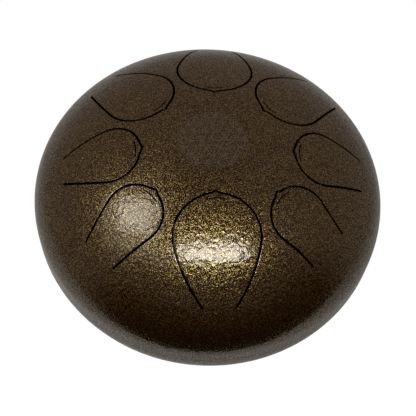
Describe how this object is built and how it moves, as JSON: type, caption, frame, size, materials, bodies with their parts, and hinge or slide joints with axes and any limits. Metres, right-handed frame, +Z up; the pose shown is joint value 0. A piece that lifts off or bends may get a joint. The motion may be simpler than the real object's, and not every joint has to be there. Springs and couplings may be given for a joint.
{
  "type": "steel tongue drum",
  "caption": "Lens-shaped steel drum with teardrop tongues cut in its top, a sound hole underneath and rubber feet, played by hand or with mallets.",
  "frame": {"origin": "on the plane that the feet stand on, under the drum's axis", "axes": "+Z up along the drum's axis; -Y is the front, where the longest tongue is; +X is the player's right"},
  "size_m": [0.3, 0.3, 0.1816],
  "materials": {
    "hammertone_paint": "glossy bronze-brown hammertone enamel with golden flecks",
    "zinc_steel": "zinc plated",
    "black_rubber": "matt moulded rubber"
  },
  "bodies": {
    "shell": {"bottom_shell": "hammertone_paint", "equator_weld": "hammertone_paint", "foot_1": "black_rubber", "foot_2": "black_rubber", "foot_3": "black_rubber", "foot_4": "black_rubber", "foot_screw_1": "zinc_steel", "foot_screw_2": "zinc_steel", "foot_screw_3": "zinc_steel", "foot_screw_4": "zinc_steel", "foot_washer_1": "zinc_steel", "foot_washer_2": "zinc_steel", "foot_washer_3": "zinc_steel", "foot_washer_4": "zinc_steel", "hole_trim": "black_rubber", "inner_washer_1": "zinc_steel", "inner_washer_2": "zinc_steel", "inner_washer_3": "zinc_steel", "inner_washer_4": "zinc_steel", "lock_nut_1": "zinc_steel", "lock_nut_2": "zinc_steel", "lock_nut_3": "zinc_steel", "lock_nut_4": "zinc_steel", "top_shell": "hammertone_paint"},
    "tongue_1": {"tongue_1": "hammertone_paint"},
    "tongue_2": {"tongue_2": "hammertone_paint"},
    "tongue_3": {"tongue_3": "hammertone_paint"},
    "tongue_4": {"tongue_4": "hammertone_paint"},
    "tongue_5": {"tongue_5": "hammertone_paint"},
    "tongue_6": {"tongue_6": "hammertone_paint"},
    "tongue_7": {"tongue_7": "hammertone_paint"},
    "tongue_8": {"tongue_8": "hammertone_paint"}
  },
  "joints": [
    {"name": "tongue_1_flex", "type": "hinge", "parent": "shell", "child": "tongue_1", "pos_m": [0, -0.1271, 0.13967], "axis": [-1, 0, 0], "range_deg": [-0.63, 0.63], "stiffness_Nm_per_rad": 210},
    {"name": "tongue_2_flex", "type": "hinge", "parent": "shell", "child": "tongue_2", "pos_m": [0.08751, -0.08304, 0.14508], "axis": [-0.6884, -0.7254, 0], "range_deg": [-0.93, 0.93], "stiffness_Nm_per_rad": 280},
    {"name": "tongue_3_flex", "type": "hinge", "parent": "shell", "child": "tongue_3", "pos_m": [0.12418, -0.01305, 0.14163], "axis": [-0.1045, -0.9945, 0], "range_deg": [-0.84, 0.84], "stiffness_Nm_per_rad": 230},
    {"name": "tongue_4_flex", "type": "hinge", "parent": "shell", "child": "tongue_4", "pos_m": [0.10163, 0.07384, 0.14098], "axis": [0.5878, -0.809, 0], "range_deg": [-0.72, 0.72], "stiffness_Nm_per_rad": 240},
    {"name": "tongue_5_flex", "type": "hinge", "parent": "shell", "child": "tongue_5", "pos_m": [0.01108, 0.12662, 0.13967], "axis": [0.9962, -0.0872, 0], "range_deg": [-0.67, 0.67], "stiffness_Nm_per_rad": 220},
    {"name": "tongue_6_flex", "type": "hinge", "parent": "shell", "child": "tongue_6", "pos_m": [-0.08845, 0.08542, 0.14322], "axis": [0.6947, 0.7193, 0], "range_deg": [-0.7, 0.7], "stiffness_Nm_per_rad": 220},
    {"name": "tongue_7_flex", "type": "hinge", "parent": "shell", "child": "tongue_7", "pos_m": [-0.11979, -0.00418, 0.14569], "axis": [-0.0349, 0.9994, 0], "range_deg": [-0.8, 0.8], "stiffness_Nm_per_rad": 210},
    {"name": "tongue_8_flex", "type": "hinge", "parent": "shell", "child": "tongue_8", "pos_m": [-0.09052, -0.08151, 0.14416], "axis": [-0.6691, 0.7431, 0], "range_deg": [-0.84, 0.84], "stiffness_Nm_per_rad": 240}
  ]
}
